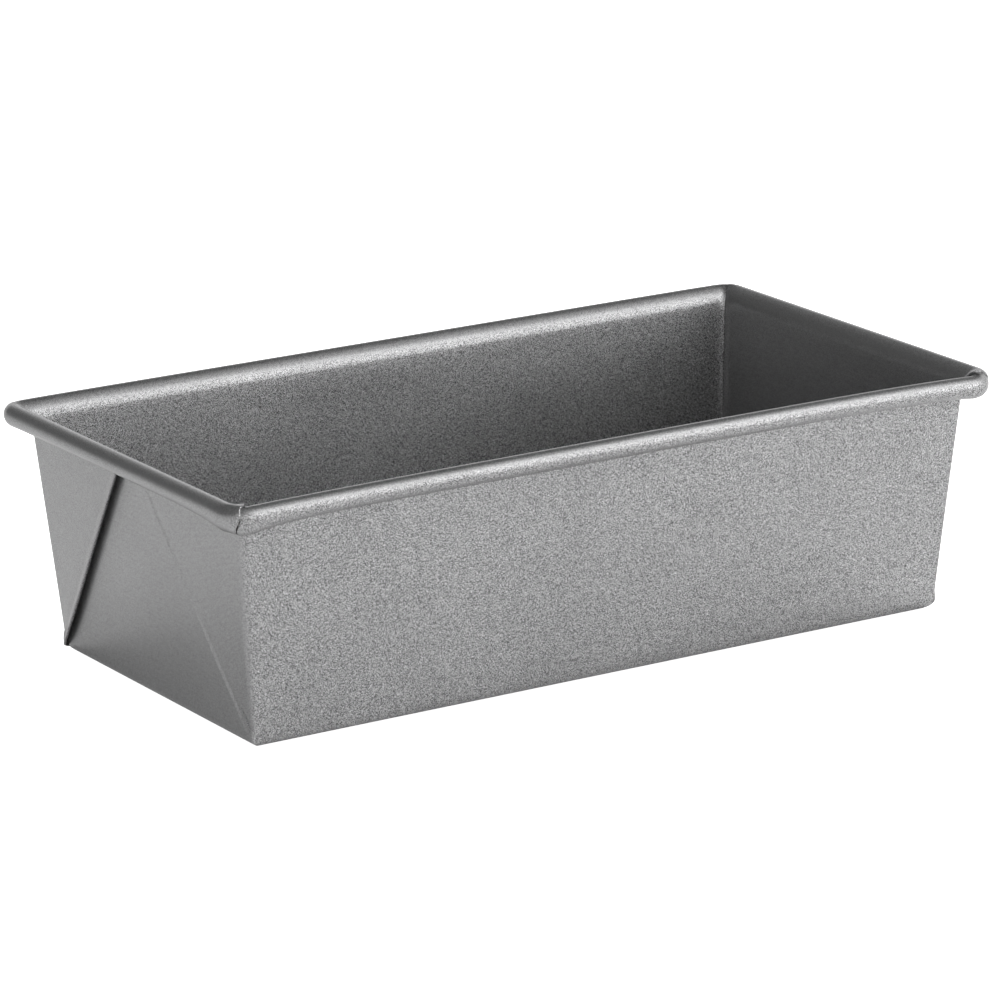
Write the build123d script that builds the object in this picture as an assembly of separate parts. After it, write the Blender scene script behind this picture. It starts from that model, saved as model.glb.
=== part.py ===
from build123d import *

import os
from math import atan2, cos, degrees, radians, sin, sqrt, tan

# Loaf pan folded from one sheet, with its rim rolled round a steel wire.
#
# Frame: millimetres, origin at the centre of the underside, +X along the pan,
# +Y across it, +Z up. Wall sections are measured in horizontal planes.

# ---------------------------------------------------------------- dimensions
RIM_LENGTH = 269.4            # over the rolled rim, along X
RIM_WIDTH = 144.0             # over the rolled rim, along Y
HEIGHT = 77.0                 # underside to top of rim
TAPER = 5.0                   # lean of all four walls from vertical, degrees
SHEET = 0.6                   # thickness of the tinplated steel sheet
RIM_OVERHANG = 7.0            # rim's edge beyond the wall's outer plane, at HEIGHT
RIM_CORNER_RADIUS = 8.3       # plan radius of the rim's outer edge

WIRE_DIAMETER = 5.0
WIRE_CLEARANCE = 0.05         # between the wire and the curl round it
WIRE_JOINT_GAP = 0.6          # between the wire's butted ends
FLARE_RADIUS = 6.0            # cavity side of the wall, where it turns out to the rim
CURL_END_ANGLE = -165.0       # where the curl's edge stops, under the flare

FLOOR_CORNER_RADIUS = 3.9     # plan radius of the floor's outline
FLOOR_BEND_RADIUS = 3.8       # outside of the bend between floor and walls
FOLD_SLOPE = 0.716            # the fold moves this far in for each unit of height
FOLD_GAP = 0.2                # air between neighbouring layers of a fold
FOLD_START = 7.2              # height where the fold's layers begin to part
EAR_BOTTOM = 1.3              # lowest height of the pinched ear below each fold
EAR_BOTTOM_OUT = 0.3          # the ear's thickness over the bend, at its lowest
EAR_BOTTOM_FOLD = 1.2         # the ear's length past the corner, at its lowest

# ------------------------------------------------------------ derived values
LEAN = tan(radians(TAPER))
WALL = SHEET / cos(radians(TAPER))            # sheet thickness cut horizontally
LAYER = WALL + FOLD_GAP
HAIRPIN_RADIUS = WALL + FOLD_GAP / 2

CURL_RADIUS = WIRE_DIAMETER / 2 + WIRE_CLEARANCE + SHEET
PIVOT_X = RIM_LENGTH / 2 - RIM_CORNER_RADIUS  # axis of each rim corner
PIVOT_Y = RIM_WIDTH / 2 - RIM_CORNER_RADIUS
WALL_CORNER_RADIUS = RIM_CORNER_RADIUS - RIM_OVERHANG

FLOOR_HALF_X = RIM_LENGTH / 2 - RIM_OVERHANG - LEAN * HEIGHT
FLOOR_HALF_Y = RIM_WIDTH / 2 - RIM_OVERHANG - LEAN * HEIGHT

# Section of the rim: distances are measured outward from a corner's axis.
BEAD = (RIM_CORNER_RADIUS - CURL_RADIUS, HEIGHT - CURL_RADIUS)
ALONG = (sin(radians(TAPER)), cos(radians(TAPER)))       # up the wall
OUTWARD = (cos(radians(TAPER)), -sin(radians(TAPER)))    # out of the wall
LINE_START = (WALL_CORNER_RADIUS - WALL, HEIGHT)         # on the cavity face
BEAD_OFFSET = (BEAD[0] - LINE_START[0]) * OUTWARD[0] + (BEAD[1] - LINE_START[1]) * OUTWARD[1]
BEAD_ALONG = (BEAD[0] - LINE_START[0]) * ALONG[0] + (BEAD[1] - LINE_START[1]) * ALONG[1]
FLARE_ALONG = BEAD_ALONG - sqrt(
    (FLARE_RADIUS - CURL_RADIUS) ** 2 - (FLARE_RADIUS - BEAD_OFFSET) ** 2
)
FLARE_CENTRE = (
    LINE_START[0] + FLARE_RADIUS * OUTWARD[0] + FLARE_ALONG * ALONG[0],
    LINE_START[1] + FLARE_RADIUS * OUTWARD[1] + FLARE_ALONG * ALONG[1],
)
FLARE_START = LINE_START[1] + FLARE_ALONG * ALONG[1] - SHEET


def half_x(z):
    """Outer plane of an end wall at height z."""
    return FLOOR_HALF_X + LEAN * z


def half_y(z):
    """Outer plane of a side wall at height z."""
    return FLOOR_HALF_Y + LEAN * z


def fold_y(z):
    """Tip of a corner fold at height z, on its way towards the middle."""
    return FLOOR_HALF_Y - FOLD_SLOPE * z


def four_quadrants(solid):
    """The solid with its mirror images about both upright middle planes."""
    half = solid + mirror(solid, about=Plane.YZ)
    return half + mirror(half, about=Plane.XZ)


def wall_section(z, corner_radius):
    """A quarter of the walls at height z, as one folded ribbon.

    The side wall wraps the corner, runs over the end wall to the fold, turns
    back, and turns again at the corner to become the end wall.
    """
    inner_radius = corner_radius - WALL
    end_out = half_x(z)
    end_in = end_out - WALL
    mid_in = end_out + FOLD_GAP
    mid_out = mid_in + WALL
    top_in = mid_out + FOLD_GAP
    top_out = top_in + WALL
    side_out = half_y(z)
    side_in = side_out - WALL
    arc_y = side_in - inner_radius
    back = arc_y - FOLD_GAP
    fold = fold_y(z) + HAIRPIN_RADIUS
    outline = [
        Line((0, side_out), (top_out - corner_radius, side_out)),
        CenterArc((top_out - corner_radius, side_out - corner_radius), corner_radius, 90, -90),
        Line((top_out, side_out - corner_radius), (top_out, fold)),
        CenterArc((top_out - HAIRPIN_RADIUS, fold), HAIRPIN_RADIUS, 0, -180),
        Line((mid_in, fold), (mid_in, back)),
        Line((mid_in, back), (end_out, back)),
        Line((end_out, back), (end_out, 0)),
        Line((end_out, 0), (end_in, 0)),
        Line((end_in, 0), (end_in, back)),
        CenterArc((end_in + HAIRPIN_RADIUS, back), HAIRPIN_RADIUS, 180, -180),
        Line((mid_out, back), (mid_out, fold)),
        Line((mid_out, fold), (top_in, fold)),
        Line((top_in, fold), (top_in, arc_y)),
        CenterArc((top_in - inner_radius, arc_y), inner_radius, 0, 90),
        Line((top_in - inner_radius, side_in), (0, side_in)),
        Line((0, side_in), (0, side_out)),
    ]
    return Plane.XY.offset(z) * make_face(outline)


def folded_walls():
    """All four walls with their corner folds, from the floor's bend to the flare."""
    low = wall_section(FOLD_START, FLOOR_CORNER_RADIUS + LEAN * FOLD_START)
    high = wall_section(FLARE_START, WALL_CORNER_RADIUS)
    return four_quadrants(loft([low, high], ruled=True))


def tub(inset, bottom, bend_radius):
    """Solid bowl shape of the pan's lowest part, shrunk by inset on all sides."""
    grow = LEAN * bottom
    outline = Plane.XY.offset(bottom) * RectangleRounded(
        2 * (FLOOR_HALF_X + grow - inset),
        2 * (FLOOR_HALF_Y + grow - inset),
        FLOOR_CORNER_RADIUS + grow - inset,
    )
    block = extrude(outline, amount=FOLD_START - bottom, taper=-TAPER)
    return fillet(block.faces().sort_by(Axis.Z)[0].edges(), bend_radius)


def ear_section(z, out, inset, fold):
    """Plan of a pinched ear: the corner of the floor's bend, made thicker."""
    radius = FLOOR_CORNER_RADIUS + LEAN * z
    face_x = half_x(z) - inset
    face_y = half_y(z) - inset
    outline = [
        Line((face_x - radius, fold), (face_x + out, fold)),
        Line((face_x + out, fold), (face_x + out, face_y - radius)),
        CenterArc((face_x + out - radius, face_y - radius), radius, 0, 90),
        Line((face_x + out - radius, face_y), (face_x - radius, face_y)),
        Line((face_x - radius, face_y), (face_x - radius, fold)),
    ]
    return Plane.XY.offset(z) * make_face(outline)


def ear():
    """Pinched metal where a fold runs out into the floor's bend."""
    rise = FLOOR_BEND_RADIUS - EAR_BOTTOM
    inset = FLOOR_BEND_RADIUS - sqrt(FLOOR_BEND_RADIUS ** 2 - rise ** 2)
    corner = half_y(EAR_BOTTOM) - inset - FLOOR_CORNER_RADIUS
    low = ear_section(EAR_BOTTOM, EAR_BOTTOM_OUT, inset, corner - EAR_BOTTOM_FOLD)
    high = ear_section(FOLD_START, 2 * LAYER, 0, fold_y(FOLD_START))
    return loft([low, high], ruled=True)


def floor_and_bends():
    """Flat floor, the bends round it, and the four pinched ears."""
    outside = tub(0, 0, FLOOR_BEND_RADIUS)
    inside = tub(WALL, SHEET, FLOOR_BEND_RADIUS - SHEET)
    return outside + four_quadrants(ear()) - inside


def rim_section():
    """Wall top, flare and curl, in the upright plane through a corner's axis."""
    flare_end = atan2(BEAD[1] - FLARE_CENTRE[1], BEAD[0] - FLARE_CENTRE[0])
    flare_end = degrees(flare_end)
    flare_begin = 180.0 - TAPER
    under_radius = FLARE_RADIUS - SHEET
    inner_curl = CURL_RADIUS - SHEET
    curl = CURL_END_ANGLE - flare_end

    def polar(centre, radius, angle):
        turn = radians(angle)
        return (centre[0] + radius * cos(turn), centre[1] + radius * sin(turn))

    drop = (HEIGHT - FLARE_START) * LEAN
    root_in = (LINE_START[0] - drop, FLARE_START)
    root_out = (LINE_START[0] - drop + WALL, FLARE_START)
    outline = [
        Line(root_in, polar(FLARE_CENTRE, FLARE_RADIUS, flare_begin)),
        CenterArc(FLARE_CENTRE, FLARE_RADIUS, flare_begin, flare_end - flare_begin),
        CenterArc(BEAD, CURL_RADIUS, flare_end, curl),
        Line(polar(BEAD, CURL_RADIUS, CURL_END_ANGLE), polar(BEAD, inner_curl, CURL_END_ANGLE)),
        CenterArc(BEAD, inner_curl, CURL_END_ANGLE, -curl),
        CenterArc(FLARE_CENTRE, under_radius, flare_end, flare_begin - flare_end),
        Line(polar(FLARE_CENTRE, under_radius, flare_begin), root_out),
        Line(root_out, root_in),
    ]
    return Plane.XZ * make_face(outline)


def rolled_rim():
    """The rim's section run along the four sides and round the four corners."""
    section = rim_section()
    end_run = extrude(Pos(PIVOT_X, 0, 0) * section, amount=PIVOT_Y)
    side_run = extrude(Rot(0, 0, 90) * Pos(PIVOT_Y, 0, 0) * section, amount=-PIVOT_X)
    corner = revolve(section, axis=Axis.Z, revolution_arc=90)
    quarter = mirror(end_run, about=Plane.XZ) + side_run + Pos(PIVOT_X, PIVOT_Y, 0) * corner
    return four_quadrants(quarter)


def pan_body():
    """The folded sheet: floor, walls, corner folds and rolled rim in one piece."""
    return floor_and_bends() + folded_walls() + rolled_rim()


def rim_wire():
    """Wire inside the curl, bent to a rectangle and butted in the middle of a side."""
    centre_radius = BEAD[0]
    path = Plane.XY.offset(BEAD[1]) * RectangleRounded(
        2 * (PIVOT_X + centre_radius),
        2 * (PIVOT_Y + centre_radius),
        centre_radius,
    )
    start = Plane(
        origin=(0, PIVOT_Y + centre_radius, BEAD[1]),
        x_dir=(0, 1, 0),
        z_dir=(1, 0, 0),
    )
    wire = sweep(start * Circle(WIRE_DIAMETER / 2), path=path.face().outer_wire())
    gap = Pos(0, PIVOT_Y + centre_radius, BEAD[1]) * Box(
        WIRE_JOINT_GAP, 2 * WIRE_DIAMETER, 2 * WIRE_DIAMETER
    )
    return wire - gap


os.makedirs("parts", exist_ok=True)
export_step(pan_body(), "parts/folded_pan_body.step")
export_step(rim_wire(), "parts/rim_wire.step")
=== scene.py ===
"""A loaf pan of folded, coated steel sheet, with its rim rolled round a wire.

The pan is built as skins of quads over the CAD model's own lines: one skin for the
cavity, which runs up over the rim and round its curl, one for the back of that curl,
and one for the outside, with the corner folds pressed flat on the two end walls.
Lengths are in millimetres until a mesh is made, in the CAD frame: origin at the
centre of the underside, +X along the pan, +Z up.
"""
from math import atan2, cos, exp, hypot, pi, radians, sin, sqrt, tan

import bmesh
import bpy
import numpy as np
from mathutils import Matrix, Vector, noise


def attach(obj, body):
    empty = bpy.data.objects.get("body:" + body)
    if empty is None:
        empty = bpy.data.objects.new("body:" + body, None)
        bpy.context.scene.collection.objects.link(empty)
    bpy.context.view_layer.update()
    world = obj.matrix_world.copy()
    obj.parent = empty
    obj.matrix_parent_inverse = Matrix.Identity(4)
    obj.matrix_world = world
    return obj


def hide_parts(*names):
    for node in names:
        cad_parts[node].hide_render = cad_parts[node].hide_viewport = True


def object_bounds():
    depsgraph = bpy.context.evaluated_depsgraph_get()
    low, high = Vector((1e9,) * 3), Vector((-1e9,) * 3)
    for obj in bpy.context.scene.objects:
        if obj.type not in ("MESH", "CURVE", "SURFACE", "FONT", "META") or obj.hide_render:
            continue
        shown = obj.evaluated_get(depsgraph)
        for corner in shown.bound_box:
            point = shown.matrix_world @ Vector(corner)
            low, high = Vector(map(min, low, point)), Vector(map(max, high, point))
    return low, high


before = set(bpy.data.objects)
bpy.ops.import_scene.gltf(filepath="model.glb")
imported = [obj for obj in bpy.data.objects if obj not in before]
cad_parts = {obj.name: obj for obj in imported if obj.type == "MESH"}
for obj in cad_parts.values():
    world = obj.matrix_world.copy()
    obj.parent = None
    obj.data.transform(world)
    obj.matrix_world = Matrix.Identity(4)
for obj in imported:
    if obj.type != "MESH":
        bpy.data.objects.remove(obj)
CAD_LOW, CAD_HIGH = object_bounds()

MM = 0.001

# ------------------------------------------------------------------ dimensions
HALF_LENGTH = CAD_HIGH[0] / MM
HALF_WIDTH = CAD_HIGH[1] / MM
HEIGHT = CAD_HIGH[2] / MM
TAPER = radians(5.0)              # lean of the walls from vertical
SHEET = 0.6
RIM_OVERHANG = 7.0                # rim's edge beyond the walls' outer planes at HEIGHT
RIM_CORNER = 8.3                  # plan radius of the rim's outer edge
WIRE_RADIUS = 2.5
WIRE_CLEARANCE = 0.05
FLARE_RADIUS = 6.0                # cavity side, where the wall turns out to the rim
CURL_END = radians(-165.0)        # where the curl's cut edge stops
BEND_RADIUS = 4.0                 # outside of the bend between floor and walls
FLOOR_DISH = 0.35                 # rise of the floor towards its middle

CORNER_SHARPENING = 17.0          # height over which the upright corners lose their foot's radius
CAVITY_CORNER = 3.6               # inside of a corner, down at the floor's bend
NOSE_RADIUS = 0.45                # the end wall's folded edge, inside each corner
CREASE_GAP = 0.04                 # between that edge and the side wall
CREASE_DEPTH = 0.3
CREASE_EASE = 0.75                # how far both walls ease inward at the crease
CREASE_START = (4.5, 12.0)        # heights over which the round corner turns into the crease
NOSE_BEGINS = radians(95)         # where the folded edge's curve comes out from behind the side
RIM_BLEND = (-1.0, 4.0)           # heights about the flare's start where a corner turns round

FOLD_SLOPE = 0.716                # how far the fold's edge moves in per unit of height
FOLD_EDGE = 0.75                  # thickness of the folded edge itself, over a dark recess
FOLD_RECESS = 3.5                 # depth of that recess
FOLD_PUFF = 0.24                  # the fold's edge stands up a little from its own flap
PUFF_WIDTH = 0.8
PUFF_PLACE = 0.7                  # in from the edge, in widths of its own
FOLD_GROOVE = 0.10                # beside a shallow groove
GROOVE_WIDTH = 1.1
GROOVE_PLACE = 2.4
RELIEF_STARTS = (2.0, 9.0)        # heights over which both come in; they fade slowly upward
RELIEF_FADE = 30.0
FOLD_THICKENS = 2.5               # width of flap over which the fold gains its thickness
FOLD_FOOT = (0.2, 2.2)            # heights over which it does so at the foot
FOLD_SHIFT_START = 3.0            # height over which its edge takes up its shift

SEAM_WANDER = radians(2.5)        # either way from its slanting line
SEAM_WANDERS = 3.25               # waves of it round the curl
SEAM_SLANT = 2.5                  # how early the slant is spent on the way round the curl
SEAM_LIFT_LENGTH = 4.5            # the proud rim rises over this length
SEAM_EDGE_LIFT = 0.55             # share of the rise that its rounded-over edge keeps
# How each corner came out of the folding, by the signs of its X and Y:
#   seam    angle of the rim's seam over the bead and under it, in degrees from the end's side
#   gap     how far that seam gapes
#   lift    how proud the end's rim stands at it, or the side's rim where this is negative
#   drop    how far the side's rim drops towards the corner, and over what length
#   bulge   how much further the bead hangs underneath
#   fold    how far the fold's edge stands off the end wall
#   shift   that edge's shift towards the corner, at the foot and at the rim
#   radius  of the upright corner, at the foot and above it
CORNERS = {
    (-1, -1): {"seam": (76.0, 50.0), "gap": 0.2, "lift": 0.5, "drop": (0.75, 35.0), "bulge": 1.9,
               "fold": 0.9, "shift": (0.9, -1.3), "radius": (0.7, 3.4)},
    (1, -1): {"seam": (58.0, 16.0), "gap": 0.9, "lift": -0.1, "drop": (1.1, 25.0), "bulge": 0.7,
              "fold": 1.4, "shift": (0.0, 0.0), "radius": (1.2, 2.0)},
    (-1, 1): {"seam": (60.0, 40.0), "gap": 0.2, "lift": 0.1, "drop": (0.1, 8.0), "bulge": 0.3,
              "fold": 2.1, "shift": (-2.7, -3.3), "radius": (2.8, 3.3)},
    (1, 1): {"seam": (45.0, 30.0), "gap": 0.2, "lift": 0.1, "drop": (0.1, 8.0), "bulge": 0.5,
             "fold": 1.4, "shift": (0.0, 0.0), "radius": (1.5, 3.0)},
}
BULGE_LENGTH = 10.0
BULGE_BEGINS = (1.9, 3.6)         # how far out from a rim corner's pivot it starts
WALL_WAVE = 0.22                  # unevenness of the pressed walls
WAVE_LENGTHS = (70.0, 70.0, 55.0)
WAVE_OFFSET = (3.1, 7.7, 1.9)     # picks one of the many patterns that the noise holds
WAVE_STARTS = (4.0, 22.0)         # heights over which the unevenness comes in
WAVE_STOPS = (60.0, 68.0)         # and goes out again below the rim
WAVE_AT_WALL = (-6.0, -2.0)       # distance from a wall's outer plane, so the floor stays flat
WAVE_OFF_SIDE = (-25.0, -4.0)     # distance before a corner over which a side's wave dies
WAVE_OFF_END = (-20.0, -4.0)      # and an end's
DROP_HEIGHTS = (62.0, 70.0)       # over which the side's metal starts to follow its rim down

LEAN = tan(TAPER)
WALL = SHEET / cos(TAPER)
BEAD_RADIUS = WIRE_RADIUS + WIRE_CLEARANCE + SHEET
PIVOT_X = HALF_LENGTH - RIM_CORNER
PIVOT_Y = HALF_WIDTH - RIM_CORNER
WALL_AT_TOP = RIM_CORNER - RIM_OVERHANG      # outer plane at HEIGHT, out from the pivot


# -------------------------------------------------------------- the wall's profile
BEND_STEPS = 8
WALL_STEPS = 26
FLARE_STEPS = 8
CURL_STEPS = 44


class Profile:
    """The sheet's cavity face as points (out, z) with outward normals, floor to curl.

    "out" is the distance from the upright line through a rim corner's pivot, and it is
    the same for the side walls and the end walls.
    """

    def __init__(self):
        inner_top = WALL_AT_TOP - WALL
        along = np.array((sin(TAPER), cos(TAPER)))
        outward = np.array((cos(TAPER), -sin(TAPER)))
        top = np.array((inner_top, HEIGHT))
        self.bead = np.array((RIM_CORNER - BEAD_RADIUS, HEIGHT - BEAD_RADIUS))
        offset = float((self.bead - top) @ outward)
        rise = float((self.bead - top) @ along)
        drop = sqrt((FLARE_RADIUS - BEAD_RADIUS) ** 2 - (FLARE_RADIUS - offset) ** 2)
        self.flare_centre = top + FLARE_RADIUS * outward + (rise - drop) * along
        self.flare_start = top + (rise - drop) * along
        to_bead = self.bead - self.flare_centre
        self.flare_end = atan2(to_bead[1], to_bead[0])

        bend_inner = BEND_RADIUS - SHEET
        wall_at_floor = inner_top - LEAN * HEIGHT
        # The bend's centre is its radius away from both the floor and the wall's face.
        centre_z = BEND_RADIUS
        centre_out = wall_at_floor + LEAN * centre_z - bend_inner / cos(TAPER)
        self.bend_centre = np.array((centre_out, centre_z))

        points, normals = [], []
        for i in range(BEND_STEPS + 1):
            angle = -pi / 2 + (pi / 2 - TAPER) * i / BEND_STEPS
            ray = np.array((cos(angle), sin(angle)))
            points.append(self.bend_centre + bend_inner * ray)
            normals.append(-ray)
        low = points[-1]
        for i in range(1, WALL_STEPS):
            points.append(low + (self.flare_start - low) * i / WALL_STEPS)
            normals.append(-outward)
        self.flare_level = len(points)
        for i in range(FLARE_STEPS):
            angle = pi - TAPER + (self.flare_end - pi + TAPER) * i / FLARE_STEPS
            ray = np.array((cos(angle), sin(angle)))
            points.append(self.flare_centre + FLARE_RADIUS * ray)
            normals.append(ray)
        self.curl_level = len(points)
        for i in range(CURL_STEPS + 1):
            angle = self.flare_end + (CURL_END - self.flare_end) * i / CURL_STEPS
            ray = np.array((cos(angle), sin(angle)))
            points.append(self.bead + BEAD_RADIUS * ray)
            normals.append(ray)
        self.points = np.array(points)
        self.normals = np.array(normals)


PROFILE = Profile()


def smoothstep(low, high, value):
    t = min(max((value - low) / (high - low), 0.0), 1.0)
    return t * t * (3 - 2 * t)


def mix(a, b, t):
    return a + (b - a) * t


# ------------------------------------------------------------------ cavity and rim
CORNER_ZONE = 4.2                 # length of wall beside a corner that the corner owns
CORNER_SPACING = 1.6              # power that crowds a corner's points towards its seam
SIDE_CORNER_STEPS = 14
END_CORNER_STEPS = 9
SIDE_STEPS = 64
END_STEPS = 36


def seam_angle(level, corner):
    """The seam slants round the bead, and wanders a little."""
    over, under = (radians(angle) for angle in CORNERS[corner]["seam"])
    past = max(level - PROFILE.curl_level, 0) / CURL_STEPS
    wander = SEAM_WANDER * sin(2 * pi * SEAM_WANDERS * past)
    return mix(under, over, (1 - past) ** SEAM_SLANT) + wander


def round_corner(out, radius, seam, part, steps):
    """Corner points on a plain arc, from the side wall to the end wall."""
    first, last = (pi / 2, seam) if part == "side" else (seam, 0.0)
    centre = (PIVOT_X + out - radius, PIVOT_Y + out - radius)
    share = np.linspace(0.0, 1.0, steps + 1)
    if part == "side":
        share = 1 - (1 - share) ** CORNER_SPACING
    else:
        share = share ** CORNER_SPACING
    angles = first + (last - first) * share
    return np.stack((centre[0] + radius * np.cos(angles), centre[1] + radius * np.sin(angles)), 1)


def crease_corner(out, part, steps):
    """Corner points where the end wall's folded edge meets the side wall.

    Both walls ease inward over the last few millimetres before the crease.
    """
    face_x = PIVOT_X + out
    face_y = PIVOT_Y + out
    if part == "side":
        x = np.linspace(face_x - CORNER_ZONE, face_x + CREASE_DEPTH, steps + 1)
        points = np.stack((x, np.full(steps + 1, face_y)), 1)
        nearness = (x - face_x) / CORNER_ZONE + 1
    else:
        nose_y = face_y - CREASE_GAP - NOSE_RADIUS
        straight = steps // 3
        angles = np.linspace(NOSE_BEGINS, pi, steps - straight + 1)
        nose_x = face_x + NOSE_RADIUS + NOSE_RADIUS * np.cos(angles)
        nose = np.stack((nose_x, nose_y + NOSE_RADIUS * np.sin(angles)), 1)
        run = np.linspace(nose_y, face_y - CORNER_ZONE, straight + 1)[1:]
        points = np.concatenate((nose, np.stack((np.full(straight, face_x), run), 1)))
        nearness = (points[:, 1] - nose_y) / (CORNER_ZONE - CREASE_GAP - NOSE_RADIUS) + 1
    ease = CREASE_EASE * np.clip(nearness, 0.0, 1.0) ** 2
    return points - ease[:, None]


def corner_points(out, z, level, part, corner):
    """One level of a corner, seen from above: round, then creased, then the rim's arc."""
    steps = SIDE_CORNER_STEPS if part == "side" else END_CORNER_STEPS
    seam = seam_angle(level, corner)
    radius = CAVITY_CORNER
    if level <= BEND_STEPS:
        inset = (PROFILE.points[BEND_STEPS][0] - LEAN * (PROFILE.points[BEND_STEPS][1] - z)) - out
        radius = max(CAVITY_CORNER - max(inset, 0.0), 0.3)
    low = round_corner(out, radius, seam, part, steps)
    creased = crease_corner(out, part, steps)
    points = mix(low, creased, smoothstep(*CREASE_START, z))
    first, last = RIM_BLEND
    into_rim = smoothstep(PROFILE.flare_start[1] + first, PROFILE.flare_start[1] + last, z)
    if level >= PROFILE.curl_level:
        into_rim = 1.0
    if into_rim > 0:
        gap = CORNERS[corner]["gap"] / 2 / max(out, 1.0)
        shifted = seam + gap if part == "side" else seam - gap
        rim = round_corner(out, out, shifted, part, steps)
        points = mix(points, rim, into_rim)
    return points


def plain_strip(part, signs, shift, first_level):
    """A grid of points, levels by columns, for one side or one end of the pan.

    signs are the strip's own side of X and of Y, and shift moves the points along the
    profile's normals, into the sheet.
    """
    ends = ((-1, 1), (1, 1)) if part == "side" else ((1, 1), (1, -1))
    turn = np.array(signs)
    corners = [(end[0] * signs[0], end[1] * signs[1]) for end in ends]
    rows = []
    for level in range(first_level, len(PROFILE.points)):
        out, z = PROFILE.points[level] - shift * PROFILE.normals[level]
        first = corner_points(out, z, level, part, corners[0])
        last = corner_points(out, z, level, part, corners[1])
        if part == "side":
            run = np.linspace(-first[0][0], last[0][0], SIDE_STEPS + 1)[1:-1]
            straight = np.stack((run, np.full(len(run), PIVOT_Y + out)), 1)
            row = np.concatenate((first[::-1] * (-1, 1), straight, last))
        else:
            run = np.linspace(first[-1][1], -last[-1][1], END_STEPS + 1)[1:-1]
            straight = np.stack((np.full(len(run), PIVOT_X + out), run), 1)
            row = np.concatenate((first, straight, last[::-1] * (1, -1)))
        rows.append(np.column_stack((row * turn, np.full(len(row), z))))
    return np.array(rows)


def strip(part, signs, shift=0.0, first_level=0):
    """The same grid, with its rim raised where it is the one that stands proud at a seam."""
    rows = plain_strip(part, signs, shift, first_level)
    steps = SIDE_CORNER_STEPS if part == "side" else END_CORNER_STEPS
    first, second = range(steps + 1), range(-1, -2 - steps, -1)
    for side, columns in ((1, first), (-1, second)):
        if part == "side":
            corner = (-side * signs[0], signs[1])
            lift = -CORNERS[corner]["lift"]
        else:
            corner = (signs[0], side * signs[1])
            lift = CORNERS[corner]["lift"]
        if lift <= 0:
            continue
        raised = plain_strip(part, signs, shift - lift, first_level)
        for i, row in enumerate(rows):
            level = i + first_level
            rising = smoothstep(PROFILE.curl_level - 2, PROFILE.curl_level + 3, level)
            for j, k in enumerate(columns):
                arc = seam_angle(level, corner)
                arc = pi / 2 - arc if part == "side" else arc
                reach = arc * RIM_CORNER * (j / steps) ** CORNER_SPACING
                share = rising * (1 - smoothstep(0.3, SEAM_LIFT_LENGTH, reach))
                if j == 0:
                    share *= SEAM_EDGE_LIFT
                row[k] = mix(row[k], raised[i][k], share)
                row[k][2] = min(row[k][2], HEIGHT)
    return rows


# ---------------------------------------------------------------------- outside
ARC_STEPS = 12
FLAP_STEPS = 24
TIP_STEPS = 6
OUTER_SIDE_STEPS = 34
OUTER_END_STEPS = 30
OUTER_END_SPACING = 1.6           # power that crowds the end wall's points towards its fold
THINNEST = 1e-3                   # of the fold, where it runs out at the foot
OUTSIDE_ENDS_BELOW = 1.4          # the bead's centre, hidden behind the curl
FLARE_CLEARANCE = 0.02            # between the outside and the curl's own back


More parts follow.
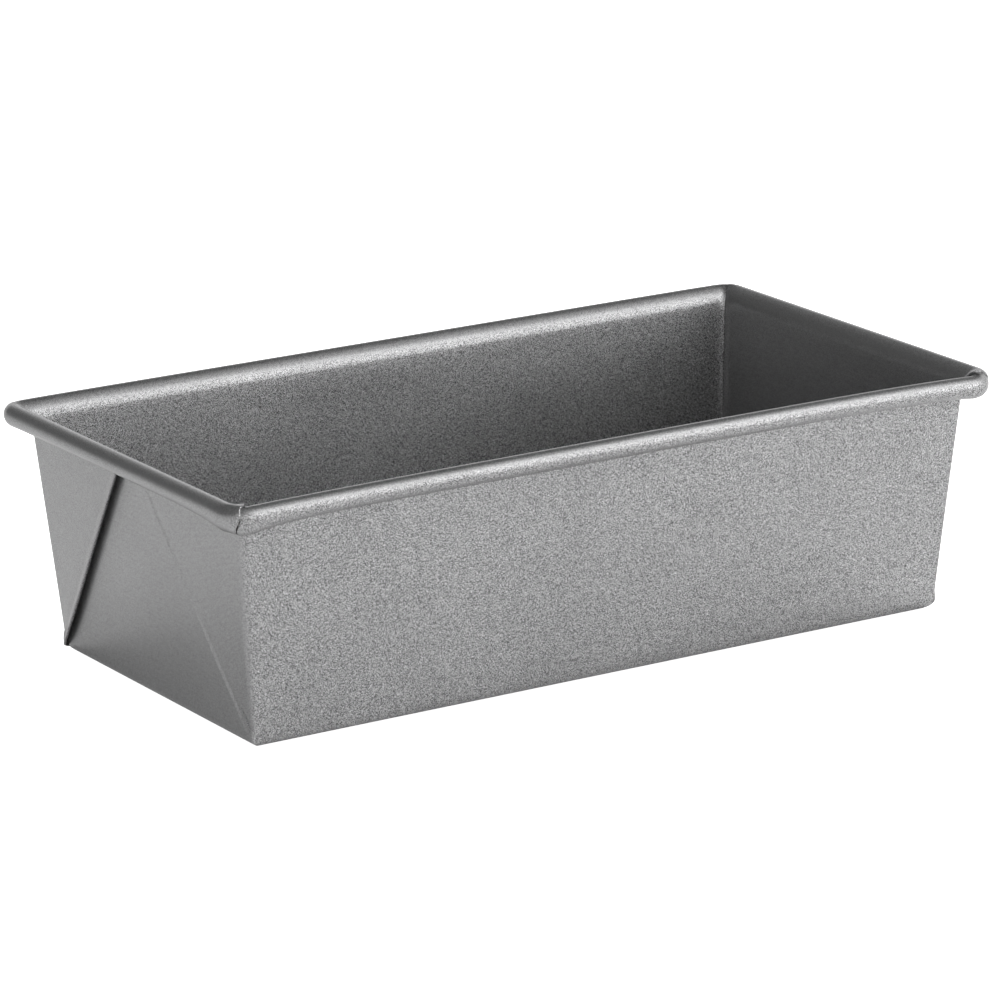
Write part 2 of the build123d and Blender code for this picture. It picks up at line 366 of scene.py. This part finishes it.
def outer_quadrant(out, z, inset, corner):
    """One level of the outside, from the middle of the +Y side to the middle of the +X end.

    The side wall turns the corner, runs on as the flap to the fold's edge, goes back into
    the dark recess behind that edge, and goes on as the end wall.
    """
    folding = CORNERS[corner]
    low = exp(-z / CORNER_SHARPENING)
    radius = max(mix(*folding["radius"], 1 - low) - inset, 0.3)
    face_x = PIVOT_X + out
    face_y = PIVOT_Y + out
    foot_y = PIVOT_Y + WALL_AT_TOP - LEAN * HEIGHT
    shift = mix(*folding["shift"], z / HEIGHT) * (1 - exp(-z / FOLD_SHIFT_START))
    tip_y = foot_y - FOLD_SLOPE * z + shift
    arc_y = face_y - radius

    flap_width = foot_y + LEAN * z - tip_y
    fullness = 1 - exp(-flap_width / FOLD_THICKENS)
    thick = folding["fold"] * fullness * smoothstep(*FOLD_FOOT, z) + THINNEST
    edge_thick = min(FOLD_EDGE, 0.5 * thick)
    edge_radius = edge_thick / 2

    past = (tip_y + edge_radius - arc_y) / radius
    last = np.arcsin(min(max(past, 0.0), 1.0))
    end_y = arc_y + radius * sin(last) if last > 0 else tip_y + edge_radius
    angles = np.linspace(pi / 2, last, ARC_STEPS + 1)
    swell = thick * smoothstep(arc_y - 1.0, face_y, tip_y + 2.0)
    arc = np.stack(
        (face_x + swell - radius + radius * np.cos(angles), arc_y + radius * np.sin(angles)), 1
    )
    side_x = np.linspace(0.0, arc[0][0], OUTER_SIDE_STEPS + 1)[:-1]
    side = np.stack((side_x, np.full(len(side_x), face_y)), 1)
    share = 1 - (1 - np.linspace(0.0, 1.0, FLAP_STEPS + 1)[1:]) ** 2
    flap_y = mix(arc[-1][1], end_y, share)
    from_edge = flap_y - end_y
    puff = FOLD_PUFF * np.exp(-((from_edge / PUFF_WIDTH - PUFF_PLACE) ** 2))
    groove = FOLD_GROOVE * np.exp(-((from_edge / GROOVE_WIDTH - GROOVE_PLACE) ** 2))
    fading = 0.5 + 0.5 * exp(-z / RELIEF_FADE)
    relief = (puff - groove) * smoothstep(*RELIEF_STARTS, z) * fading
    flap_x = arc[-1][0] + (thick - swell) * share + relief
    flap = np.stack((flap_x, flap_y), 1)

    turn = np.linspace(0.0, -pi, TIP_STEPS + 1)[1:]
    edge = np.stack(
        (flap[-1][0] - edge_radius + edge_radius * np.cos(turn), end_y + edge_radius * np.sin(turn)), 1
    )
    wall_x = face_x if last == 0 else arc[-1][0] - swell
    depth = min(FOLD_RECESS, 0.6 * max(face_y - radius * 0.3 - tip_y, 0.0))
    shrink = 1 - smoothstep(0.0, FOLD_RECESS, depth) * 0.5
    recess = np.array(
        (
            (edge[-1][0], end_y + depth * 0.5),
            (mix(edge[-1][0], wall_x, shrink * 0.5), end_y + depth),
            (wall_x, end_y + depth),
            (wall_x, end_y + depth * 0.4),
        )
    )
    rest_arc = last * radius
    rest_line = arc_y if last > 0 else end_y
    spacing = np.linspace(0.0, 1.0, OUTER_END_STEPS + 1) ** OUTER_END_SPACING
    travel = (rest_arc + rest_line) * spacing
    end = []
    for s in travel:
        if s < rest_arc:
            angle = last - s / radius
            end.append((face_x - radius + radius * cos(angle), arc_y + radius * sin(angle)))
        else:
            end.append((face_x, rest_line - (s - rest_arc)))
    points = np.concatenate((side, arc, flap, edge, recess, np.array(end)))
    return points * corner


def outer_loop(out, z, inset):
    """The whole closed loop of one level, clockwise from the middle of the +Y side."""
    quadrants = {corner: outer_quadrant(out, z, inset, corner) for corner in CORNERS}
    return np.concatenate(
        (
            quadrants[1, 1],
            quadrants[1, -1][-2::-1],
            quadrants[-1, -1][1:],
            quadrants[-1, 1][-2:0:-1],
        )
    )


def outer_skin():
    """Grid of the outside, from the floor's edge up to behind the bead."""
    rows = []
    points = PROFILE.points + SHEET * -PROFILE.normals
    wall_line = PROFILE.points[BEND_STEPS] - SHEET * PROFILE.normals[BEND_STEPS]
    top = PROFILE.bead[1] - OUTSIDE_ENDS_BELOW
    for level in range(PROFILE.curl_level):
        out, z = points[level]
        if z > top:
            break
        inset = max(wall_line[0] - LEAN * (wall_line[1] - z) - out, 0.0) if level < BEND_STEPS else 0.0
        if level >= PROFILE.flare_level:
            out += FLARE_CLEARANCE
        loop = outer_loop(out, z, inset)
        rows.append(np.column_stack((loop, np.full(len(loop), z))))
    return np.array(rows)


# ------------------------------------------------- how a real pan departs from its drawing
def wave(x, y, z):
    """Slow unevenness of a pressed wall, in millimetres, about zero."""
    place = Vector([distance / wave for distance, wave in zip((x, y, z), WAVE_LENGTHS)])
    return WALL_WAVE * noise.noise(place + Vector(WAVE_OFFSET)) * 2


def nearest_corner(x, y):
    return CORNERS[(1 if x > 0 else -1, 1 if y > 0 else -1)]


def droop(x, y):
    """How much lower the rim of a long side lies, near its ends."""
    depth, length = nearest_corner(x, y)["drop"]
    return depth * exp(-max(PIVOT_X - abs(x), 0.0) / length)


def fuller(x, y, z):
    """How much further the bead's underside hangs, near a corner."""
    bead_z = PROFILE.bead[1]
    below = 1 - smoothstep(bead_z - BEAD_RADIUS, bead_z + 1.0, z)
    past_x, past_y = abs(x) - PIVOT_X, abs(y) - PIVOT_Y
    out = max(past_x, past_y, hypot(max(past_x, 0.0), max(past_y, 0.0)))
    along = max(-past_x, 0.0) + max(-past_y, 0.0)
    hanging = nearest_corner(x, y)["bulge"] * exp(-along / BULGE_LENGTH) * below
    return hanging * smoothstep(*BULGE_BEGINS, out)


def weathered(rows, part):
    """Moves a grid's points as a body of sheet: uneven walls, drooping rims, full corners."""
    moved = rows.copy()
    for p in moved.reshape(-1, 3):
        x, y, z = p
        up = smoothstep(*WAVE_STARTS, z) * (1 - smoothstep(*WAVE_STOPS, z))
        reach = WALL_AT_TOP - LEAN * (HEIGHT - z)
        near_side = smoothstep(*WAVE_AT_WALL, abs(y) - PIVOT_Y - reach)
        near_end = smoothstep(*WAVE_AT_WALL, abs(x) - PIVOT_X - reach)
        fade_x = 1 - smoothstep(*WAVE_OFF_SIDE, abs(x) - PIVOT_X - reach)
        fade_y = 1 - smoothstep(*WAVE_OFF_END, abs(y) - PIVOT_Y - reach)
        p[1] += wave(x, y, z) * up * near_side * fade_x
        p[0] += wave(x, y, z) * up * near_end * fade_y
        if part == "side":
            p[2] -= droop(x, y) * smoothstep(*DROP_HEIGHTS, z)
        p[2] -= fuller(x, y, z)
    return moved


# ------------------------------------------------------------------- mesh helpers
FLOOR_RINGS = (0.93, 0.82, 0.66, 0.48, 0.3, 0.14)     # shares of the floor's outline
SMOOTH_BELOW = radians(40)        # edges sharper than this stay sharp
MERGE_METRES = 2e-6
DEGENERATE_METRES = 1e-6


class Builder:
    """Collects grids of points into one mesh."""

    def __init__(self):
        self.points = []
        self.faces = []

    def grid(self, rows, closed=False, flip=False):
        """Adds rows of points and the quads between them; returns each point's index."""
        count, width = rows.shape[:2]
        start = len(self.points)
        self.points.extend(map(tuple, rows.reshape(-1, 3)))
        index = np.arange(start, start + count * width).reshape(count, width)
        spans = width if closed else width - 1
        for i in range(count - 1):
            for j in range(spans):
                k = (j + 1) % width
                quad = (index[i, j], index[i, k], index[i + 1, k], index[i + 1, j])
                self.faces.append(quad[::-1] if flip else quad)
        return index

    def bridge(self, first, second, flip=False):
        """Quads between two equally long rows of existing points."""
        for i in range(len(first) - 1):
            quad = (first[i], first[i + 1], second[i + 1], second[i])
            self.faces.append(quad[::-1] if flip else quad)

    def floor(self, loop, dish, flip=False):
        """Rings from a closed loop of existing points in to the middle."""
        edge = np.array([self.points[i] for i in loop])
        centre = edge.mean(axis=0)
        rows = []
        for share in FLOOR_RINGS:
            ring = centre + (edge - centre) * share
            ring[:, 2] = edge[:, 2] + dish * (1 - share ** 2)
            rows.append(ring)
        index = self.grid(np.array(rows), closed=True, flip=flip)
        ring = index[0]
        for j in range(len(ring)):
            k = (j + 1) % len(ring)
            quad = (loop[j], loop[k], ring[k], ring[j])
            self.faces.append(quad[::-1] if flip else quad)
        middle = len(self.points)
        self.points.append((centre[0], centre[1], edge[0][2] + dish))
        inner = index[-1]
        for j in range(len(inner)):
            k = (j + 1) % len(inner)
            face = (inner[j], inner[k], middle)
            self.faces.append(face[::-1] if flip else face)

    def object(self, name):
        """Makes the Blender object, in metres."""
        mesh = bpy.data.meshes.new(name)
        points = np.array(self.points) * MM
        mesh.from_pydata(points.tolist(), [], [tuple(int(i) for i in f) for f in self.faces])
        mesh.validate()
        mesh.update()
        piece = bpy.data.objects.new(name, mesh)
        bpy.context.collection.objects.link(piece)
        return piece


def build_sheet():
    """The whole folded sheet as one mesh.

    The cavity's four strips have backs from the flare upward, where the curl shows them.
    Below the rim, the strips are joined to each other at the corners.
    """
    builder = Builder()
    root = PROFILE.flare_level + 2         # where the backs begin
    seam_open = PROFILE.curl_level - 2     # where the corners' seams begin
    faces, backs = {}, {}
    for name, part, signs in (
        ("north", "side", (1, 1)),
        ("east", "end", (1, 1)),
        ("south", "side", (-1, -1)),
        ("west", "end", (-1, -1)),
    ):
        faces[name] = builder.grid(weathered(strip(part, signs), part))
        backs[name] = builder.grid(weathered(strip(part, signs, SHEET, root), part), flip=True)
        builder.bridge(faces[name][-1], backs[name][-1])
        builder.bridge(faces[name][root:, 0], backs[name][:, 0])
        builder.bridge(backs[name][:, -1], faces[name][root:, -1])
    order = ("north", "east", "south", "west")
    for name, following in zip(order, order[1:] + order[:1]):
        left = faces[name][: seam_open + 1, -1]
        right = faces[following][: seam_open + 1, 0]
        builder.bridge(right, left)
    loop = np.concatenate([faces[name][0] for name in order])
    builder.floor(loop, FLOOR_DISH, flip=True)

    outside = builder.grid(weathered(outer_skin(), "outside"), closed=True, flip=True)
    builder.floor(outside[0], FLOOR_DISH)
    return builder.object("pan_sheet")


def finish_mesh(piece):
    """Merges doubled points, drops collapsed faces, and shades the rest smooth."""
    mesh = bmesh.new()
    mesh.from_mesh(piece.data)
    bmesh.ops.remove_doubles(mesh, verts=mesh.verts, dist=MERGE_METRES)
    bmesh.ops.dissolve_degenerate(mesh, dist=DEGENERATE_METRES, edges=mesh.edges)
    mesh.to_mesh(piece.data)
    mesh.free()
    piece.data.shade_smooth()
    piece.data.set_sharp_from_angle(angle=SMOOTH_BELOW)


sheet = build_sheet()
finish_mesh(sheet)


# --------------------------------------------------------------------- the wire
WIRE_HALF_GAP = 0.3               # either side of the butt joint
WIRE_BEND_STEPS = 12              # in each corner
WIRE_SPAN = 12.0                  # length of each ring's stretch on the straights
WIRE_SIDES = 24
WIRE_DROP_REACH = 0.8             # how far in from a side's rim the wire begins to drop with it


def build_wire():
    """A round wire bent to a rectangle, butted in the middle of the back."""
    bend = PROFILE.bead[0]
    path = [(WIRE_HALF_GAP, PIVOT_Y + bend)]
    for i, (sx, sy) in enumerate(((1, 1), (1, -1), (-1, -1), (-1, 1))):
        for step in range(WIRE_BEND_STEPS + 1):
            angle = pi / 2 - i * pi / 2 - (pi / 2) * step / WIRE_BEND_STEPS
            path.append((sx * PIVOT_X + bend * cos(angle), sy * PIVOT_Y + bend * sin(angle)))
    path.append((-WIRE_HALF_GAP, PIVOT_Y + bend))
    path = np.array(path)
    dense = [path[0]]
    for a, b in zip(path[:-1], path[1:]):
        count = max(int(np.linalg.norm(b - a) / WIRE_SPAN), 1)
        for k in range(1, count + 1):
            dense.append(a + (b - a) * k / count)
    path = np.array(dense)
    builder = Builder()
    rows = []
    for i, here in enumerate(path):
        ahead = path[min(i + 1, len(path) - 1)] - path[max(i - 1, 0)]
        ahead /= np.linalg.norm(ahead)
        side = np.array((ahead[1], -ahead[0]))
        on_side = smoothstep(bend - WIRE_DROP_REACH, bend, abs(here[1]) - PIVOT_Y)
        centre_z = PROFILE.bead[1] - droop(*here) * on_side
        ring = []
        for k in range(WIRE_SIDES):
            angle = 2 * pi * k / WIRE_SIDES
            out = WIRE_RADIUS * cos(angle)
            z = centre_z + WIRE_RADIUS * sin(angle)
            ring.append((here[0] + side[0] * out, here[1] + side[1] * out, z))
        rows.append(ring)
    index = builder.grid(np.array(rows), closed=True)
    builder.faces.append(tuple(index[0]))
    builder.faces.append(tuple(index[-1][::-1]))
    return builder.object("rim_wire_loop")


wire = build_wire()
finish_mesh(wire)


# -------------------------------------------------------------------- materials
COATING_GREY = 0.385
FLAKES_PER_METRE = 7000.0
FLAKE_CONTRAST = 1.45             # of one flake to the next, as a share of the grey
GRAINS_PER_METRE = 6000.0
GRAIN_CONTRAST = 0.3
DARKEST_FLAKE = 0.03
CLOUDS_PER_METRE = 30.0
STREAKS_PER_METRE = 900.0         # on the wire
PAINTED_GLINT_ON_ENDS = 0.28             # how much of that contrast the end walls keep: a painted dulling that stands in for the glints the lamps give only the long sides
PAINTED_GLINT_ON_RIM = 0.4               # and the formed rim, dulled the same way as painted glint
FLAKE_HEIGHT = 0.00004            # of the grainy surface, in metres


def new_material(name):
    material = bpy.data.materials.new(name)
    material.use_nodes = True
    nodes = material.node_tree.nodes
    return material, nodes, material.node_tree.links, nodes["Principled BSDF"]


def add_noise(nodes, links, scale, detail, roughness=0.5):
    """3-D noise in object space; scale is in features per metre."""
    place = nodes.new("ShaderNodeTexCoord")
    texture = nodes.new("ShaderNodeTexNoise")
    texture.inputs["Scale"].default_value = scale
    texture.inputs["Detail"].default_value = detail
    texture.inputs["Roughness"].default_value = roughness
    links.new(place.outputs["Object"], texture.inputs["Vector"])
    return texture.outputs["Fac"]


def add_math(nodes, links, operation, first, second, third=0.0):
    """A Math node; each of its inputs is a socket or a number."""
    node = nodes.new("ShaderNodeMath")
    node.operation = operation
    for i, value in enumerate((first, second, third)):
        if isinstance(value, float):
            node.inputs[i].default_value = value
        else:
            links.new(value, node.inputs[i])
    return node.outputs["Value"]


def add_range(nodes, links, source, old, new):
    """Maps the range old to the range new, and clamps."""
    node = nodes.new("ShaderNodeMapRange")
    names = ("From Min", "From Max", "To Min", "To Max")
    for name, value in zip(names, (*old, *new)):
        node.inputs[name].default_value = value
    links.new(source, node.inputs["Value"])
    return node.outputs["Result"]


def add_ramp(nodes, links, source, stops):
    """Grey ramp from (position, grey) stops."""
    ramp = nodes.new("ShaderNodeValToRGB")
    elements = ramp.color_ramp.elements
    while len(elements) < len(stops):
        elements.new(0.5)
    for element, (position, value) in zip(elements, stops):
        element.position = position
        element.color = (value, value, value, 1.0)
    links.new(source, ramp.inputs["Fac"])
    return ramp.outputs["Color"]


def coated_steel():
    """Grey bakeware coating over steel: flakes light and dark, slow mottling, a grainy surface.

    The flakes are lively on the long sides and the floor, and fainter on the two ends and over the
    rolled rim. That difference is painted glint: the coating is the same everywhere, and the mask
    stands in for how the lamps catch its flakes.
    """
    material, nodes, links, shader = new_material("coated_steel")
    shader.inputs["Metallic"].default_value = 0.9
    shader.inputs["Coat Weight"].default_value = 0.7
    shader.inputs["Coat Roughness"].default_value = 0.12
    place = nodes.new("ShaderNodeTexCoord")

    flakes = nodes.new("ShaderNodeTexVoronoi")
    flakes.inputs["Scale"].default_value = FLAKES_PER_METRE
    links.new(place.outputs["Object"], flakes.inputs["Vector"])
    flake = nodes.new("ShaderNodeSeparateColor")
    links.new(flakes.outputs["Color"], flake.inputs["Color"])
    grain = add_noise(nodes, links, GRAINS_PER_METRE, 1.0, 0.6)

    facing = nodes.new("ShaderNodeSeparateXYZ")
    links.new(place.outputs["Normal"], facing.inputs["Vector"])
    # Painted glints: the flakes' contrast, in colour and bump, is cut by facing and height, so the end
    # walls and the rolled rim look as dull as the lighting leaves them.
    end_wall = add_math(nodes, links, "POWER", facing.outputs["X"], 2.0)
    ends_painted_dull = add_range(nodes, links, end_wall, (0.0, 0.8), (1.0, PAINTED_GLINT_ON_ENDS))
    upward = add_math(nodes, links, "POWER", facing.outputs["Z"], 2.0)
    position = nodes.new("ShaderNodeSeparateXYZ")
    links.new(place.outputs["Object"], position.inputs["Vector"])
    on_rim = add_range(nodes, links, position.outputs["Z"], (0.055, 0.065), (0.0, 1.0))
    rolled = add_math(nodes, links, "MULTIPLY", upward, on_rim)
    rim_painted_dull = add_range(nodes, links, rolled, (0.02, 0.3), (1.0, PAINTED_GLINT_ON_RIM))
    painted_glint_share = add_math(nodes, links, "MULTIPLY", ends_painted_dull, rim_painted_dull)

    hard = (-FLAKE_CONTRAST, FLAKE_CONTRAST)
    fine = (-GRAIN_CONTRAST, GRAIN_CONTRAST)
    light = add_range(nodes, links, flake.outputs["Red"], (0.0, 1.0), hard)
    soft = add_range(nodes, links, grain, (0.3, 0.7), fine)
    both = add_math(nodes, links, "ADD", light, soft)
    varied = add_math(nodes, links, "MULTIPLY", both, painted_glint_share)
    flaky = add_math(nodes, links, "MULTIPLY_ADD", varied, COATING_GREY, COATING_GREY)
    grey = add_math(nodes, links, "MAXIMUM", flaky, DARKEST_FLAKE)
    cloud = add_noise(nodes, links, CLOUDS_PER_METRE, 3.0)
    mottle = add_range(nodes, links, cloud, (0.3, 0.7), (0.95, 1.03))
    shade = add_math(nodes, links, "MULTIPLY", grey, mottle)
    colour = nodes.new("ShaderNodeCombineColor")
    links.new(shade, colour.inputs["Red"])
    links.new(shade, colour.inputs["Green"])
    links.new(add_math(nodes, links, "MULTIPLY", shade, 1.01), colour.inputs["Blue"])
    links.new(colour.outputs["Color"], shader.inputs["Base Color"])

    rough = add_range(nodes, links, grain, (0.3, 0.7), (0.33, 0.43))
    links.new(rough, shader.inputs["Roughness"])
    height = add_math(nodes, links, "MULTIPLY", flake.outputs["Green"], painted_glint_share)
    bump = nodes.new("ShaderNodeBump")
    bump.inputs["Strength"].default_value = 0.5
    bump.inputs["Distance"].default_value = FLAKE_HEIGHT
    links.new(height, bump.inputs["Height"])
    links.new(bump.outputs["Normal"], shader.inputs["Normal"])
    return material


def drawn_wire():
    """Plain drawn steel, dull, with faint streaks."""
    material, nodes, links, shader = new_material("drawn_wire")
    shader.inputs["Metallic"].default_value = 1.0
    streak = add_noise(nodes, links, STREAKS_PER_METRE, 3.0)
    links.new(add_ramp(nodes, links, streak, ((0.3, 0.36), (0.7, 0.5))), shader.inputs["Base Color"])
    links.new(add_ramp(nodes, links, streak, ((0.3, 0.35), (0.7, 0.5))), shader.inputs["Roughness"])
    return material


sheet.data.materials.append(coated_steel())
wire.data.materials.append(drawn_wire())

for piece, node, slot in (
    (sheet, "folded_pan_body", "coated_sheet"),
    (wire, "rim_wire", "wire"),
):
    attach(piece, "root")
    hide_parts(node)


# ------------------------------------------------------------- floor, light, camera
FLOOR_GLOW = 1.0
FLOOR_HALF_SIZE = 3.0
STUDIO_BRIGHTNESS = 0.85
# Dark parts of the studio: a direction, the cosines from it between which the light falls,
# and the share of the light left there.
DARK_DOME = ((-0.55, 0.30, 0.78), (0.28, 0.66), 0.14)
DARK_SPOT = ((0.51, 0.50, 0.70), (0.86, 0.96), 0.10)


def add_floor():
    """A pale floor, lit as usual in reflections, and shown nearly white."""
    mesh = bpy.data.meshes.new("floor")
    signs = ((-1, -1), (1, -1), (1, 1), (-1, 1))
    corners = [(x * FLOOR_HALF_SIZE, y * FLOOR_HALF_SIZE, 0) for x, y in signs]
    mesh.from_pydata(corners, [], [(0, 1, 2, 3)])
    floor = bpy.data.objects.new("floor", mesh)
    bpy.context.collection.objects.link(floor)
    material, nodes, links, shader = new_material("pale_floor")
    shader.inputs["Base Color"].default_value = (0.86, 0.86, 0.86, 1.0)
    shader.inputs["Roughness"].default_value = 0.9
    shader.inputs["Emission Color"].default_value = (1.0, 1.0, 1.0, 1.0)
    path = nodes.new("ShaderNodeLightPath")
    glow = add_math(nodes, links, "MULTIPLY", path.outputs["Is Camera Ray"], FLOOR_GLOW)
    links.new(glow, shader.inputs["Emission Strength"])
    mesh.materials.append(material)


def add_area(name, place, target, size, radiance, in_reflections=True):
    """A rectangular lamp of even brightness, which may light without being seen at all."""
    light = bpy.data.lights.new(name, "AREA")
    light.shape = "RECTANGLE"
    light.size, light.size_y = size
    light.energy = radiance * pi * size[0] * size[1]
    lamp = bpy.data.objects.new(name, light)
    lamp.location = place
    lamp.rotation_euler = (Vector(target) - Vector(place)).to_track_quat("-Z", "Y").to_euler()
    lamp.visible_glossy = in_reflections
    lamp.visible_camera = in_reflections
    bpy.context.collection.objects.link(lamp)


def add_world(strength, dark_parts):
    """An even white studio with soft dark parts above, which give the metal its contrast."""
    world = bpy.data.worlds.new("studio")
    bpy.context.scene.world = world
    world.use_nodes = True
    nodes, links = world.node_tree.nodes, world.node_tree.links
    background = nodes["Background"]
    background.inputs["Color"].default_value = (1.0, 1.0, 1.0, 1.0)
    place = nodes.new("ShaderNodeTexCoord")
    level = strength
    for towards, reach, left in dark_parts:
        nearness = nodes.new("ShaderNodeVectorMath")
        nearness.operation = "DOT_PRODUCT"
        links.new(place.outputs["Generated"], nearness.inputs[0])
        nearness.inputs[1].default_value = Vector(towards).normalized()
        share = add_range(nodes, links, nearness.outputs["Value"], reach, (1.0, left))
        level = add_math(nodes, links, "MULTIPLY", share, level)
    path = nodes.new("ShaderNodeLightPath")
    shown = nodes.new("ShaderNodeMix")
    links.new(path.outputs["Is Camera Ray"], shown.inputs["Factor"])
    links.new(level, shown.inputs["A"])
    shown.inputs["B"].default_value = 1.0
    links.new(shown.outputs["Result"], background.inputs["Strength"])


def add_camera():
    """A long lens from the pan's near left corner, a little above it."""
    azimuth, elevation, roll = radians(-32.0), radians(16.03), radians(-0.73)
    distance, look_at = 1.666, Vector((-0.0004, 0.0, 0.0412))
    back = Vector((sin(azimuth) * cos(elevation), -cos(azimuth) * cos(elevation), sin(elevation)))
    right = Vector((0, 0, 1)).cross(back).normalized()
    up = back.cross(right)
    tilted_right = cos(roll) * right + sin(roll) * up
    tilted_up = -sin(roll) * right + cos(roll) * up
    data = bpy.data.cameras.new("camera")
    data.sensor_width = 36.0
    data.lens = 196.9
    camera = bpy.data.objects.new("camera", data)
    turn = Matrix((tilted_right, tilted_up, back)).transposed().to_4x4()
    camera.matrix_world = Matrix.Translation(look_at + back * distance) @ turn
    bpy.context.collection.objects.link(camera)
    bpy.context.scene.camera = camera


add_floor()
add_world(STUDIO_BRIGHTNESS, (DARK_DOME, DARK_SPOT))
add_area("key", (0.80, 0.48, 0.95), (0.0, 0.0, 0.0), (1.5, 1.5), 2.2, in_reflections=False)
add_area("fill", (-0.30, -0.10, 0.22), (-0.17, -0.03, 0.0), (0.15, 0.15), 3.6, in_reflections=False)
add_area("softbox", (0.75, -0.85, 0.66), (0.05, 0.0, 0.30), (0.95, 1.3), 1.38)
add_camera()
bpy.context.scene.view_settings.view_transform = "Standard"
